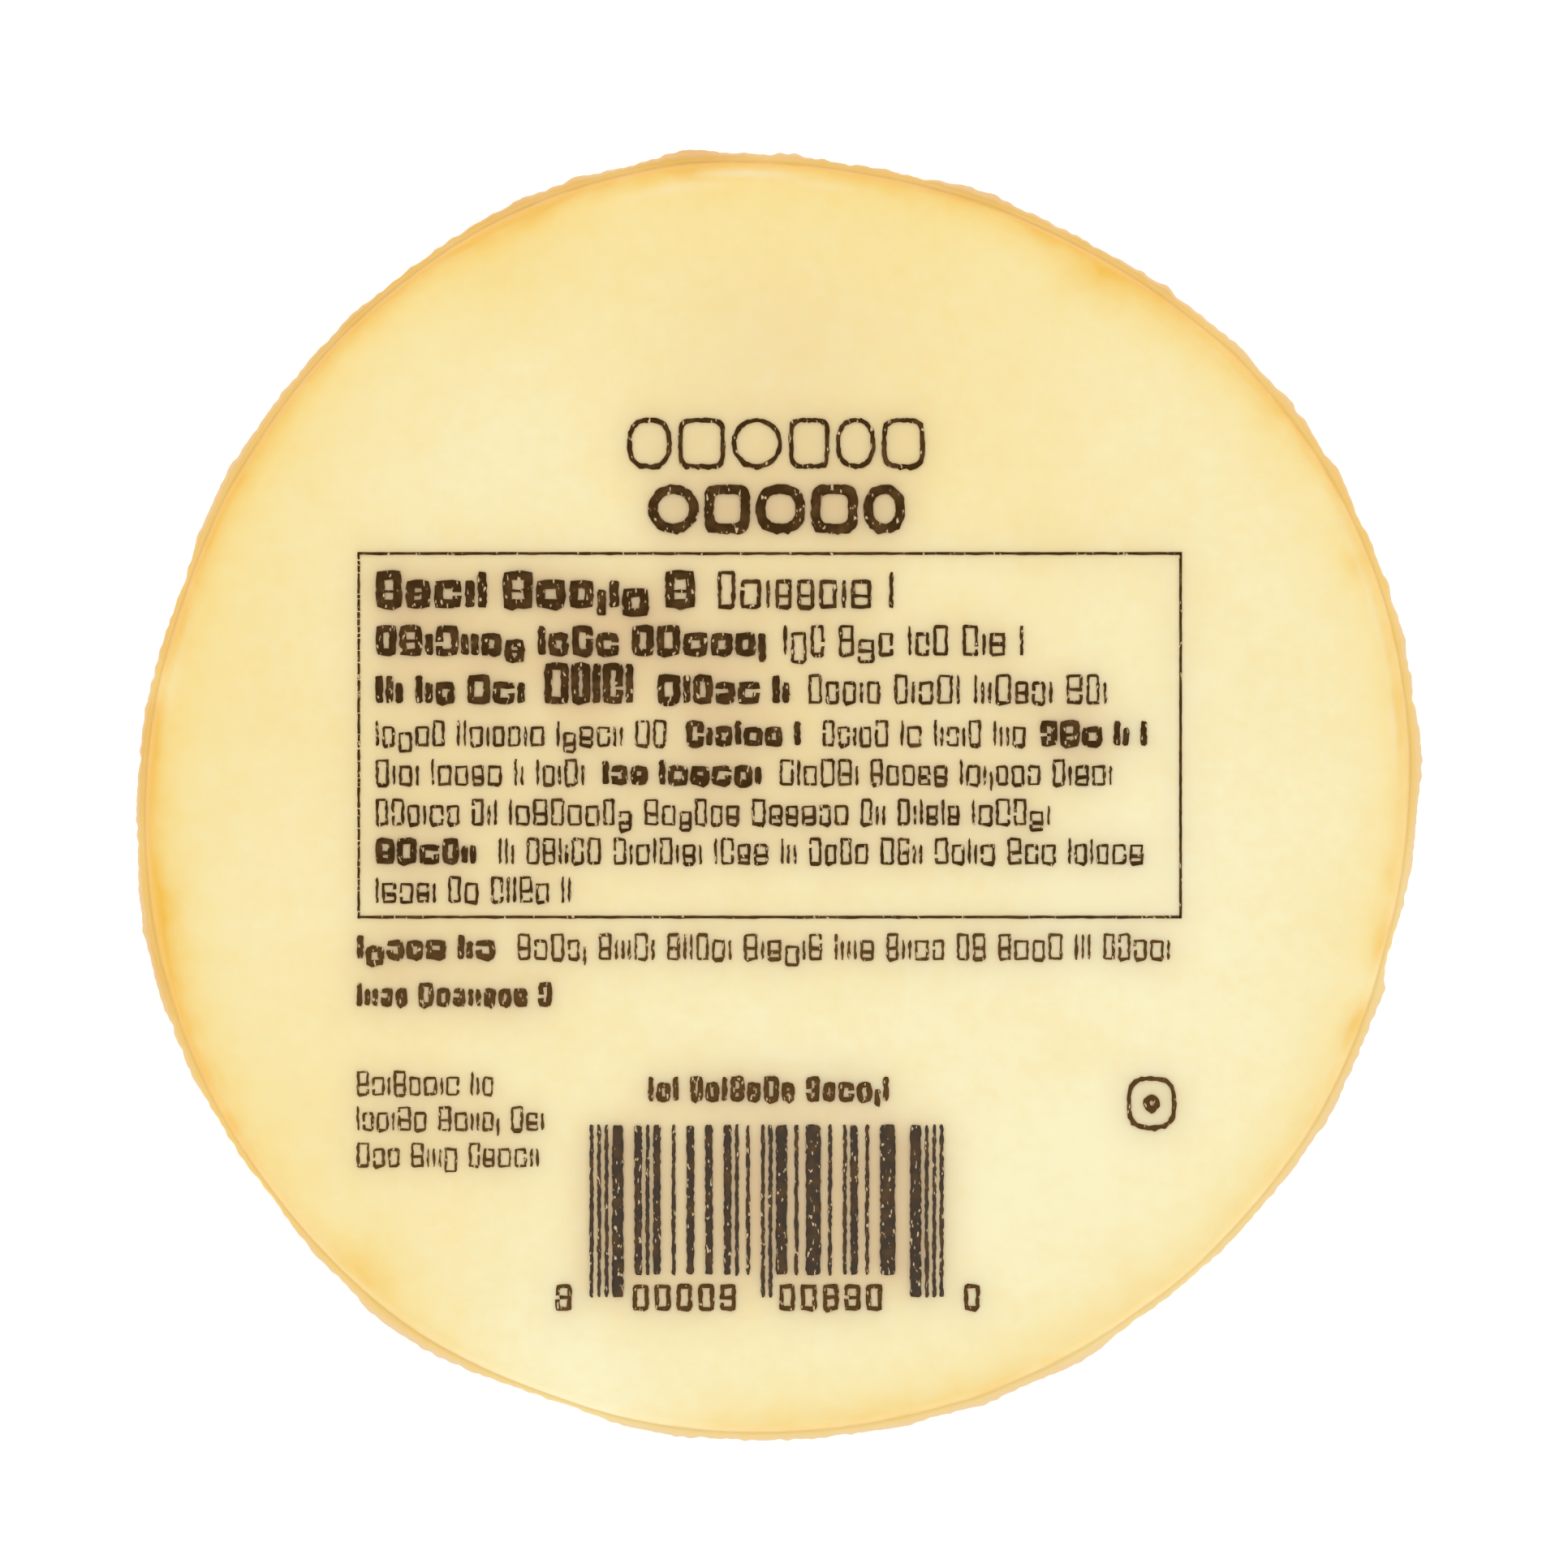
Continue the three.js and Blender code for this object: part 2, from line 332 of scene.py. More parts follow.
class FilmSettings(bpy.types.PropertyGroup):
    gap: size("Gap", 0.12, "Between the film and the cheese under the print")
    tight_gap: size("Tight gap", 0.015, "Between the film and the cheese at the edge")
    burnt_seam: colour("Burnt seam", "F2BC4C", "Spots of the seam that the smoke has browned")
    deep_seam: colour("Deep seam", "F4C260", "The seam where much smoke shows through")
    middle_seam: colour("Middle seam", "FDD87C", "Most of the seam")
    pale_seam: colour("Pale seam", "FFEAA8", "The seam where the least smoke shows through")
    seam_tip: colour("Seam tip", "FBE0BA", "The trimmed edge of the seam and its drawn fibres")
    # Painted light: the paler colour of the seam's root, where the shoulder's corner shades it
    seam_root_light: colour("Seam root", "FFDE7C", "Where the seam joins the shoulder and more light comes through")


class PrintSettings(bpy.types.PropertyGroup):
    ink: colour("Ink", "3F2807", "Dense brown ink")
    light_ink: colour("Light ink", "563B17", "The lighter ink of the lower rows")
    stripe_ink: colour("Stripe ink", "463A2E", "The duller ink of the stripes")
    thin_ink: colour("Thin ink", "70502A", "Ink where it lies thin")
    bare: colour("Bare specks", "DABF94", "Specks that took no ink")
    thickness: size("Thickness", 0.02, "Thickness of the ink")
    depth: size("Depth", 0.03, "From the outside of the film down to the ink")
    wobble: size("Wobble", 0.055, "How far the ink's edges waver")
    beading: size("Beading", 0.27, "Spacing of the beads along the ink's edges")
    seed: IntProperty(name="Seed", description="Draw of the marks in the rows", default=7)


class StageSettings(bpy.types.PropertyGroup):
    floor: colour("Floor", "FFFFFF", "The surface that the round lies on")
    sky: FloatProperty(name="Sky", description="Strength of the even light from all round", default=0.82)
    key: FloatProperty(
        name="Key", description="Watts of the strongest softbox", default=0.95, subtype="POWER"
    )
    fill: FloatProperty(
        name="Fill", description="Watts of each other softbox", default=0.75, subtype="POWER"
    )


def metres(*lengths):
    """Lengths in millimetres as metres."""
    return [length * MM for length in lengths]


def smoothstep(low, high, value):
    """From 0 at the low value to 1 at the high one, with soft ends."""
    t = min(1, max(0, (value - low) / (high - low)))
    return t * t * (3 - 2 * t)


def lerp(a, b, share):
    return a + (b - a) * share


def bell(away, width):
    """A soft bump that is 1 at its middle."""
    return math.exp(-0.5 * (away / width) ** 2)


def direction_of(x, y):
    """The direction of a point in degrees, rounded so that points in line share it."""
    return round(math.degrees(math.atan2(y, x)), 3)


def between(direction, other):
    """How many degrees one direction lies past another, from -180 to 180."""
    return (direction - other + 180) % 360 - 180


def waves(waves_of_edge, direction):
    """The sum of waves round the edge, in millimetres, or in radians for the drift of the pleats."""
    return sum(h * math.cos(n * math.radians(direction - at)) for n, h, at in waves_of_edge)


def fading(depth, strength, reach):
    """What is left of a strength at a depth, where it fades within a reach."""
    return strength * math.exp(-depth / reach)


def along_edge(bumps, direction):
    """The sum of soft bumps along the edge at a direction in degrees."""
    return sum(more * bell(between(direction, at), width) for at, width, more in bumps)


def along_rim(patches, direction, depth):
    """The sum of soft patches along the rim at a direction in degrees and a depth in mm."""
    return sum(
        more * bell(between(direction, at), wide) * bell(depth - deep, thick)
        for at, wide, deep, thick, more in patches
    )


def over_face(patches, x, y):
    """The sum of soft round patches of the face at a point in mm."""
    return sum(more * bell(math.hypot(x - cx, y - cy), wide) for cx, cy, wide, more in patches)


@functools.lru_cache(maxsize=None)
def edge_reach(direction):
    """How far lobes, swells and crinkles move the edge at a direction in degrees, in metres."""
    return metres(waves(LOBES, direction), along_edge(SWELLS, direction), waves(CRINKLES, direction))


@functools.lru_cache(maxsize=None)
def pleat_in(direction, count):
    """How far a pleat draws the wall in at a direction, from 0 to 2."""
    return 1 + math.cos(count * math.radians(direction) + waves(PLEAT_DRIFT, direction))


@functools.lru_cache(maxsize=None)
def smoke_at(direction):
    """How strong the smoke is at a direction in degrees, in the film's seam and in the cheese's rim."""
    mean, swing, strongest = SEAM_SMOKE
    seam = mean + swing * math.cos(math.radians(direction - strongest))
    return seam + along_edge(SEAM_SPOTS, direction), 1 + along_edge(RIM_SMOKE, direction)


def hollow(form, x, y):
    """How far the face stands above its crown at a point."""
    along, across, aslant = (
        math.tau * place / (length * MM) + shift
        for place, (length, shift) in zip((x, y, x + y), HOLLOWS)
    )
    return form.hollow_depth * (math.sin(along) * math.cos(across) + math.sin(aslant)) / 2


def levels(form):
    """Radii and heights that the section is drawn from."""
    edge = form.diameter / 2
    wall = edge - form.seam_reach
    face = wall - form.shoulder_run
    top = form.height - form.crown
    foot = top - form.shoulder_drop
    seam = foot - form.seam_thickness / 2
    return Levels(edge, wall, face, top, foot, seam)


def face_height(form, x, y):
    """Height of the film over a point of the face."""
    share = math.hypot(x, y) / levels(form).face
    return form.height - form.crown * share ** 2 + hollow(form, x, y)


def section(form, lip, rings):
    """Half of the round's section, from the middle of the base to the middle of the face."""
    level = levels(form)
    wall, corner, thick = level.wall, form.base_corner, form.seam_thickness
    wall_top = level.seam - thick
    points = [(share * (wall - corner), 0) for share in BASE_RINGS]
    for i in range(CORNER_STEPS + 1):
        turn = math.pi / 2 * i / CORNER_STEPS
        points.append((wall - corner + corner * math.sin(turn), corner - corner * math.cos(turn)))
    for i in range(1, WALL_STEPS):
        share = i / WALL_STEPS
        bulge = form.wall_bulge * math.sin(math.pi * share)
        points.append((wall + bulge, lerp(corner, wall_top, share)))
    points.append((wall, wall_top))
    points += [(wall + out * form.seam_reach, level.seam + up * thick) for out, up in (*lip, *FILLET)]
    for i in range(FILLET_STEPS, SHOULDER_STEPS + 1):
        turn = math.pi / 2 * i / SHOULDER_STEPS
        run = form.shoulder_run * math.cos(turn) ** (2 / SHOULDER_FULLNESS)
        rise = form.shoulder_drop * math.sin(turn) ** (2 / SHOULDER_FULLNESS)
        points.append((level.face + run, level.foot + rise))
    for i in range(1, rings):
        share = 1 - i / rings
        points.append((level.face * share, form.height - form.crown * share ** 2))
    points.append((0, form.height))
    return points


def spun(points, quarter_steps):
    """A closed bmesh turned from half a section that starts and ends on the axis."""
    bm = bmesh.new()
    verts = [bm.verts.new((r, 0, z)) for r, z in points]
    edges = [bm.edges.new(pair) for pair in zip(verts, verts[1:])]
    bmesh.ops.spin(
        bm, geom=verts + edges, cent=(0, 0, 0), axis=(0, 0, 1), angle=math.pi / 2, steps=quarter_steps,
    )
    for axis in "XY":
        geometry = bm.verts[:] + bm.edges[:] + bm.faces[:]
        bmesh.ops.mirror(bm, geom=geometry, axis=axis, merge_dist=MERGE)
    bmesh.ops.remove_doubles(bm, verts=bm.verts[:], dist=MERGE)
    bmesh.ops.recalc_face_normals(bm, faces=bm.faces[:])
    return bm


@functools.lru_cache(maxsize=None)
def box_middle(diameter):
    """Where the middle of the round's box lies from the middle of its lobes."""
    directions = [i * 360 / SOLID_STEPS for i in range(SOLID_STEPS)]
    radii = [diameter / 2 + sum(edge_reach(direction)) for direction in directions]
    xs = [radius * math.cos(math.radians(direction)) for radius, direction in zip(radii, directions)]
    ys = [radius * math.sin(math.radians(direction)) for radius, direction in zip(radii, directions)]
    return (min(xs) + max(xs)) / 2, (min(ys) + max(ys)) / 2


def make_uneven(bm, form):
    """Takes a turned bmesh out of round, and notes how far in from the wall each point lies, in mm."""
    level = levels(form)
    wall, thick = level.wall, form.seam_thickness
    inward = bm.verts.layers.float.new("inward")
    for vert in bm.verts:
        x, y, z = vert.co
        radius = math.hypot(x, y)
        out = radius / level.edge
        direction = direction_of(x, y)
        lobe, swell, crinkle = edge_reach(direction)
        in_seam = (radius - wall - form.wall_bulge) / (form.seam_reach - form.wall_bulge)
        in_seam = min(1, max(0, in_seam))
        share = lerp(SHARE_IN_CHEESE * out ** 4, 1, in_seam)
        grown = radius + lobe * out + swell * share + crinkle * in_seam
        if out > WALL_SHARE and z < level.seam - WALL_END * thick:
            pleats = form.pleat_depth * pleat_in(direction, form.pleat_count)
            grown -= pleats * smoothstep(form.base_corner, level.seam - thick, z)
        vert[inward] = (wall + lobe * out + swell * SHARE_IN_CHEESE * out ** 4 - grown) / MM
        scale = grown / radius if radius > 0 else 1
        lift = hollow(form, x, y) * smoothstep(level.foot, level.top, z)
        vert.co = (x * scale, y * scale, z + lift)


def finished(context, bm, name, material):
    """Makes the bmesh one smooth object at the origin that rides with the round."""
    shift_x, shift_y = box_middle(context.scene.gouda_round.diameter)
    bmesh.ops.translate(bm, verts=bm.verts[:], vec=(-shift_x, -shift_y, 0))
    for face in bm.faces:
        face.smooth = True
    mesh = bpy.data.meshes.new(name)
    bm.to_mesh(mesh)
    bm.free()
    mesh.materials.append(material)
    piece = bpy.data.objects.new(name, mesh)
    context.scene.collection.objects.link(piece)
    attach(piece, BODY)
    return piece


def node(tree, kind, settings=None, **links):
    """Adds a shader node with its settings, and links its inputs by name, or by number as _0.

    What is linked is a socket, or a node for the first of its outputs that is in use.
    """
    made = tree.nodes.new(kind)
    for key, value in (settings or {}).items():
        if isinstance(key, int) or key in made.inputs:
            made.inputs[key].default_value = value
        else:
            setattr(made, key, value)
    for name, source in links.items():
        if isinstance(source, bpy.types.Node):
            source = next(output for output in source.outputs if output.enabled)
        key = int(name[1:]) if name[1:].isdigit() else name.replace("_", " ")
        tree.links.new(source, made.inputs[key])
    return made


def new_material(name):
    """A material without nodes, and what adds a node to it."""
    material = bpy.data.materials.new(name)
    material.use_nodes = True
    material.node_tree.nodes.clear()
    return material, functools.partial(node, material.node_tree)


def rgba(rgb):
    return (*rgb, 1)


def set_ramp(ramp, stops):
    """Gives a colour ramp its stops, as place and colour."""
    elements = ramp.color_ramp.elements
    while len(elements) < len(stops):
        elements.new(1)
    for element, (place, value) in zip(elements, stops):
        element.position = place
        element.color = rgba(value)


def cheese_material(look):
    """Pressed smoked gouda under film: pale and waxy, a little see-through, amber at the smoked rim."""
    material, add = new_material("pressed_smoked_gouda")
    place = add("ShaderNodeTexCoord").outputs["Object"]
    tone, cast, smoke, rind, veil, hidden, inward = (
        add("ShaderNodeAttribute", {"attribute_name": name}).outputs["Fac"]
        for name in (*NOTES, "inward")
    )

    # Clouds about 14 mm across, blotches of curd about 4 mm across and specks about 1 mm across
    clouds = add(NOISE, {"Scale": 70, "Detail": 2}, Vector=place)
    blotch = add(NOISE, {"Scale": 260, "Detail": 3}, Vector=place)
    specks = add(NOISE, {"Scale": 950, "Detail": 2}, Vector=place)
    shade = tone
    for mottling, strength in ((clouds, 0.5), (blotch, 0.36), (specks, 0.5)):
        shade = add(MATH, {"operation": "MULTIPLY_ADD", 1: strength}, _0=mottling, _2=shade)
    centred = add(MATH, {"operation": "SUBTRACT", 1: 0.68}, _0=shade)
    face = add("ShaderNodeValToRGB", _0=centred)
    set_ramp(face, ((0, look.straw), (0.45, look.butter), (1, look.cream)))
    # Painted shade round the print
    dull = add(MIX, {"data_type": "RGBA", 7: rgba(look.cast)}, _0=cast, _6=face)

    # The smoke has crept unevenly into the curd
    creep = add(NOISE, {"Scale": 420, "Detail": 3}, Vector=place)
    uneven = add(MAP_RANGE, {"To Min": 0.72, "To Max": 1.28}, Value=creep)
    smoked = add(MATH, {"operation": "MULTIPLY", "use_clamp": True}, _0=smoke, _1=uneven)
    tint = add(MIX, {"data_type": "RGBA", 6: rgba(look.gold), 7: rgba(look.amber)}, _0=smoked)
    surface = add(MIX, {"data_type": "RGBA"}, _0=smoked, _6=dull, _7=tint)

    # Painted light: the curd inside the root of the seam, where the lip shades it, is made paler
    past_root = add(MAP_RANGE, {"From Max": -0.03, "To Max": 0.8}, Value=inward)
    inside_seam = add(MATH, {"operation": "MULTIPLY"}, _0=hidden, _1=past_root)
    paler = add(MATH, {"operation": "MAXIMUM"}, _0=veil, _1=inside_seam)

    # The wall took the most smoke, in blotches about 7 mm across with finer ones in them
    browning = add(NOISE, {"Scale": 140, "Detail": 6}, Vector=place)
    browned = add(MAP_RANGE, {"From Min": 0.3, "From Max": 0.7, "To Min": 0.4, "To Max": 0.9}, Value=browning)
    crusted = add(MATH, {"operation": "MULTIPLY"}, _0=rind, _1=browned)
    # Painted sheen and painted light in their pale colour, and the wall's smoke
    for share, paint in ((paler, look.veil), (crusted, look.rind)):
        surface = add(MIX, {"data_type": "RGBA", 7: rgba(paint)}, _0=share, _6=surface)

    # The smoked rim is drier and lets less light through
    moist = add(MAP_RANGE, {"From Min": 0.1, "From Max": 1.5, "To Min": 0.08, "To Max": 0.75}, Value=inward)
    grain = add("ShaderNodeBump", {"Strength": 0.25, "Distance": 0.15 * MM}, Height=blotch)
    shader = add(
        "ShaderNodeBsdfPrincipled",
        {
            "subsurface_method": "BURLEY", "Roughness": 0.45, "IOR": 1.44,
            "Subsurface Scale": 2.2 * MM, "Subsurface Radius": (1.0, 0.62, 0.3),
        },
        Base_Color=surface, Subsurface_Weight=moist, Normal=grain,
    )
    add("ShaderNodeOutputMaterial", Surface=shader)
    return material


def film_material(look):
    """Clear shrunk vacuum film: glossy and nearly invisible, milky tan where it lies double."""
    material, add = new_material("clear_vacuum_film")
    place = add("ShaderNodeTexCoord").outputs["Object"]
    inward, smoke, double = (
        add("ShaderNodeAttribute", {"attribute_name": name}).outputs["Fac"]
        for name in ("inward", "smoke", "double")
    )

    # Drawn fibres about 3 mm long and 0.15 mm wide that run round the seam
    apart = add("ShaderNodeSeparateXYZ", Vector=place)
    along_x, along_y, across = (
        add(MATH, {"operation": "MULTIPLY", 1: scale}, _0=value)
        for value, scale in ((apart.outputs["X"], 330), (apart.outputs["Y"], 330), (inward, 7))
    )
    drawn = add("ShaderNodeCombineXYZ", X=along_x, Y=along_y, Z=across)
    fibres = add(NOISE, {"Scale": 1, "Detail": 2}, Vector=drawn)

    # A thin film reflects alike from both sides, more as it turns away
    facing = add("ShaderNodeLayerWeight").outputs["Facing"]
    steep = add(MATH, {"operation": "POWER", 1: 5}, _0=facing)
    mirror = add(MATH, {"operation": "MULTIPLY_ADD", 1: 0.25, 2: 0.01}, _0=steep)
    clear = add("ShaderNodeBsdfTransparent")
    gloss = add("ShaderNodeBsdfGlossy", {"Roughness": 0.14})
    skin = add("ShaderNodeMixShader", _0=mirror, _1=clear, _2=gloss)

    # The seam takes its colour from the smoke, and is paler in its fibres and where it was trimmed
    seam = add("ShaderNodeValToRGB", _0=smoke)
    set_ramp(seam, (
        (0, look.pale_seam), (0.37, look.middle_seam), (0.7, look.deep_seam), (1, look.burnt_seam),
    ))
    streak = add(MAP_RANGE, {"From Min": 0.4, "From Max": 0.7, "To Max": 0.32}, Value=fibres)
    tip = add(MAP_RANGE, {"From Min": -0.4, "From Max": -0.65, "To Max": 0.8}, Value=inward)
    less_smoked = add(MATH, {"operation": "MULTIPLY_ADD", 1: -0.5, 2: 1.0}, _0=smoke)
    pale_tip = add(MATH, {"operation": "MULTIPLY"}, _0=tip, _1=less_smoked)
    # Painted light where it joins the shoulder: paler and golden, for the light that the shoulder's corner
    # shades from it, unless hardly any smoke shows through
    root = add(MAP_RANGE, {"From Min": -0.45, "From Max": -0.2, "To Max": 0.55}, Value=inward)
    enough = add(MAP_RANGE, {"From Min": -0.1, "From Max": 0.25}, Value=smoke)
    painted_root_light = add(MATH, {"operation": "MULTIPLY"}, _0=root, _1=enough)
    for share, paint in ((streak, look.seam_tip), (pale_tip, look.seam_tip), (painted_root_light, look.seam_root_light)):
        seam = add(MIX, {"data_type": "RGBA", 7: rgba(paint)}, _0=share, _6=seam)
    thin = add(MAP_RANGE, {"From Min": -0.3, "From Max": -0.1, "To Min": 0.14, "To Max": 0.35}, Value=inward)
    plain = add("ShaderNodeBsdfPrincipled", {"Roughness": 0.35, "Specular IOR Level": 0.1}, Base_Color=seam)
    passing = add("ShaderNodeBsdfTranslucent", Color=seam)
    milky = add("ShaderNodeMixShader", _0=thin, _1=plain, _2=passing)

    # The film lies double from just past the wall
    joined = add(MAP_RANGE, {"From Min": -0.02, "From Max": -0.04, "To Max": 0.95}, Value=inward)
    milk = add(MATH, {"operation": "MULTIPLY"}, _0=double, _1=joined)
    mix = add("ShaderNodeMixShader", _0=milk, _1=skin, _2=milky)
    add("ShaderNodeOutputMaterial", Surface=mix)
    return material


def ink_material(name, ink, look):
    """Brown flexographic ink on the inside of the film: dense and matt, with specks that took no ink."""
    material, add = new_material(name)
    place = add("ShaderNodeTexCoord").outputs["Object"]
    grain = add(NOISE, {"Scale": 900, "Detail": 2}, Vector=place)
    worn = add("ShaderNodeValToRGB", _0=grain)
    set_ramp(worn, ((0.45, ink), (1, look.thin_ink)))

    # Bare scratches about 0.1 mm wide and 0.3 mm long, slanting with the drawn film
    turned = add("ShaderNodeMapping", {"Rotation": (0, 0, 0.6), "Scale": (3900, 1600, 1)}, Vector=place)
    specks = add(NOISE, {"Scale": 1, "Detail": 1}, Vector=turned)
    bare = add(MAP_RANGE, {"From Min": 0.645, "From Max": 0.69}, Value=specks)
    inked = add(MIX, {"data_type": "RGBA", 7: rgba(look.bare)}, _0=bare, _6=worn)
    shader = add("ShaderNodeBsdfPrincipled", {"Roughness": 0.6, "Specular IOR Level": 0.0}, Base_Color=inked)
    add("ShaderNodeOutputMaterial", Surface=shader)
    return material


def ink_cover(pieces):
    """How thickly ink covers the face round about each cell, as a share from 0 to 1."""
    cover = collections.defaultdict(float)
    shift_x, shift_y = box_middle(bpy.context.scene.gouda_round.diameter)
    for piece in pieces:
        for face in piece.data.polygons:
            if face.normal.z > 0.5:
                x, y = face.center.x + shift_x, face.center.y + shift_y
                cover[round(x / CELL), round(y / CELL)] += face.area / CELL ** 2
    cells = round(3 * BLUR / CELL)
    reach = [
        (k, bell(k * CELL, BLUR) * CELL / BLUR / math.sqrt(2 * math.pi)) for k in range(-cells, cells + 1)
    ]
    for across, up in ((1, 0), (0, 1)):
        blurred = collections.defaultdict(float)
        for (i, j), value in cover.items():
            for k, share in reach:
                blurred[i + k * across, j + k * up] += value * share
        cover = blurred
    return cover


def sampled(cover, x, y):
    """The cover at a point, drawn out between its four nearest cells."""
    i, j = math.floor(x), math.floor(y)
    low = lerp(cover.get((i, j), 0), cover.get((i + 1, j), 0), x - i)
    high = lerp(cover.get((i, j + 1), 0), cover.get((i + 1, j + 1), 0), x - i)
    return lerp(low, high, y - j)


def note_colours(bm, form, cover):
    """Notes on each point of the cheese how pale, smoked and crusted it is, its painted shade round the
    print, and its painted sheen and painted light.
    """
    top, foot = levels(form).top, levels(form).foot
    middle_tone, to_right, upwards = FACE_TONE
    layers = {name: bm.verts.layers.float.new(name) for name in NOTES}
    inward = bm.verts.layers.float["inward"]
    for vert in bm.verts:
        x, y, z = vert.co.x / MM, vert.co.y / MM, vert.co.z
        depth = max(0, vert[inward])
        direction = direction_of(x, y)
        outer, inner = smoke_at(direction)
        on_face = smoothstep(foot, top, z)
        vert[layers["tone"]] = middle_tone + to_right * x + upwards * y + over_face(CLOUDS, x, y)
        # Painted shade: tan patches round the print, and more where ink lies thick nearby
        cast = sum(
            more * bell(math.hypot((x - cx) / wide, (y - cy) / tall), 1) for cx, cy, wide, tall, more in PRINT_SHADE_PATCHES
        )
        if on_face > 0:
            cast += min(INK_MOST, INK_SHADE * sampled(cover, vert.co.x / CELL, vert.co.y / CELL))
        vert[layers["cast"]] = min(1, cast) * on_face

        smoke = fading(depth, *SMOKE_FROM_SEAM) * max(0, outer - LEAST_SEAM_SMOKE)
        smoke += fading(depth, *SMOKE_FROM_RIM) * inner
        # Painted light: less smoke past the wall, where the lip shades the ridge
        smoke *= lerp(LIGHTENED_RIDGE_SMOKE, 1, smoothstep(*PAST_WALL, vert[inward]))
        smoke *= lerp(SMOKE_ON_WALL, 1, smoothstep(foot - WALL_SMOKE_DOWN, foot, z))
        vert[layers["smoke"]] = smoke + over_face(AMBER_PATCHES, x, y) * on_face
        if z > foot - form.seam_thickness:
            vert[layers["hidden"]] = 1
        # Painted sheen where the film stands off the shoulder
        if z > foot and depth < RIM_DEPTH:
            vert[layers["veil"]] = along_rim(PAINTED_SHEENS, direction, depth)
            vert[layers["smoke"]] = max(0, vert[layers["smoke"]] + along_rim(RIM_PATCHES, direction, depth))

        on_wall = 1 - smoothstep(foot - WALL_SMOKE_DOWN, foot + WALL_SMOKE_UP, z)
        on_rim = fading(depth, *CRUST_AT_RIM) * max(0, outer)
        vert[layers["rind"]] = max(on_wall * smoothstep(*CRUST_ON_BASE, depth), on_rim)


def edge_noise(round_x, round_y, fineness, layer):
    """Noise from -1 to 1 at a point of a circle of radius 1, where each layer is a noise of its own."""
    return noise.noise(Vector((round_x * fineness, round_y * fineness, layer)))


def wrinkle(bm, form):
    """Crinkles the film's seam and wall, and notes how smoked it is and where it lies double."""
    seam, foot, thick = levels(form).seam, levels(form).foot, form.seam_thickness
    inward = bm.verts.layers.float["inward"]
    smoke = bm.verts.layers.float.new("smoke")
    double = bm.verts.layers.float.new("double")
    for vert in bm.verts:
        x, y, z = vert.co
        radius = math.hypot(x, y)
        depth = vert[inward]
        direction = direction_of(x, y)
        vert[smoke] = smoke_at(direction)[0]
        if seam - DOUBLE_START * thick < z < foot + DOUBLE_END * thick and depth < 0.1:
            vert[double] = 1
        if depth > SMOOTH_DEPTH or radius == 0:
            continue
        at = (x / radius, y / radius)
        in_seam = smoothstep(*FRAYING, depth) if abs(z - seam) < thick else 0
        torn = smoothstep(-0.2, 0.5, edge_noise(*at, *TORN) + TORN_AT_TOP * at[1])
        ragged = sum(reach * edge_noise(*at, fineness, layer) for reach, fineness, layer in RAGGED)
        ragged += NICK_REACH * torn * max(0, edge_noise(*at, *NICKS) - 0.05)
        ragged += along_edge(FLAPS, direction)
        on_wall = smoothstep(*FOLDING, depth) if z < seam - thick else 0
        fold = 1 - abs(edge_noise(*at, FOLD_FINENESS, z / MM / FOLD_LENGTH))
        out = (ragged * in_seam + FOLD_DEPTH * fold ** 6 * on_wall) * MM
        sway = SWAY_REACH * MM * edge_noise(*at, *SWAY) * in_seam
        vert.co = (x + at[0] * out, y + at[1] * out, z + sway)


def rough_grid(bm, xs, ys, wobble, draw, rounding=0.2):
    """Lays a grid of cells on the given lines, with wavering edges and round corners, and returns them."""
    across, up = len(xs) - 1, len(ys) - 1
    often, far = BAR_RUN
    made = bmesh.ops.create_grid(bm, x_segments=across, y_segments=up, size=0.5)
    faces = set()
    for vert in made["verts"]:
        i, j = round((vert.co.x + 0.5) * across), round((vert.co.y + 0.5) * up)
        x, y = xs[i] + draw.uniform(-1, 1) * wobble, ys[j] + draw.uniform(-1, 1) * wobble
        if i in (0, across) and j in (0, up):
            pull = rounding * min(xs[1] - xs[0], CORNER)
            x += pull if i == 0 else -pull
            y += pull if j == 0 else -pull
        elif j == 0 and draw.random() < often:
            y -= far * wobble
        faces.update(vert.link_faces)
        vert.co = (x, y, 0)
    return faces


def lines(start, end, pitch):
    """Evenly spaced lines from start to end, about a pitch apart."""
    count = max(1, round((end - start) / pitch))
    return [lerp(start, end, i / count) for i in range(count + 1)]


def bar(bm, x, y, wide, tall, look, draw):
    rough_grid(bm, lines(x, x + wide, BAR_CELL), lines(y, y + tall, look.beading), look.wobble, draw)


def open_frame(bm, x, y, wide, tall, stroke, look, draw):
    """A plain upright frame, sometimes with a bar across its middle or a break in its side."""
    xs = [x, *lines(x + stroke, x + wide - stroke, FRAME_CELL), x + wide]
    ys = [y, *lines(y + stroke, y + tall - stroke, look.beading), y + tall]
    crossed, broken = draw.random() < CROSSED, draw.random() < BROKEN
    side = draw.choice((xs[0], xs[-2]))
    middle_row = len(ys) // 2 - 1
    gap_row = draw.randint(2, max(2, len(ys) - 4))
    left_out = []
    for face in rough_grid(bm, xs, ys, look.wobble, draw):
        middle = face.calc_center_median()
        inside = xs[1] < middle.x < xs[-2] and ys[1] < middle.y < ys[-2]
        on_bar = crossed and ys[middle_row] < middle.y < ys[middle_row + 1]
        in_gap = broken and not inside and ys[gap_row] < middle.y < ys[gap_row + 1]
        if (inside and not on_bar) or (in_gap and abs(middle.x - side - stroke / 2) < stroke):
            left_out.append(face)
    bmesh.ops.delete(bm, geom=left_out, context="FACES")


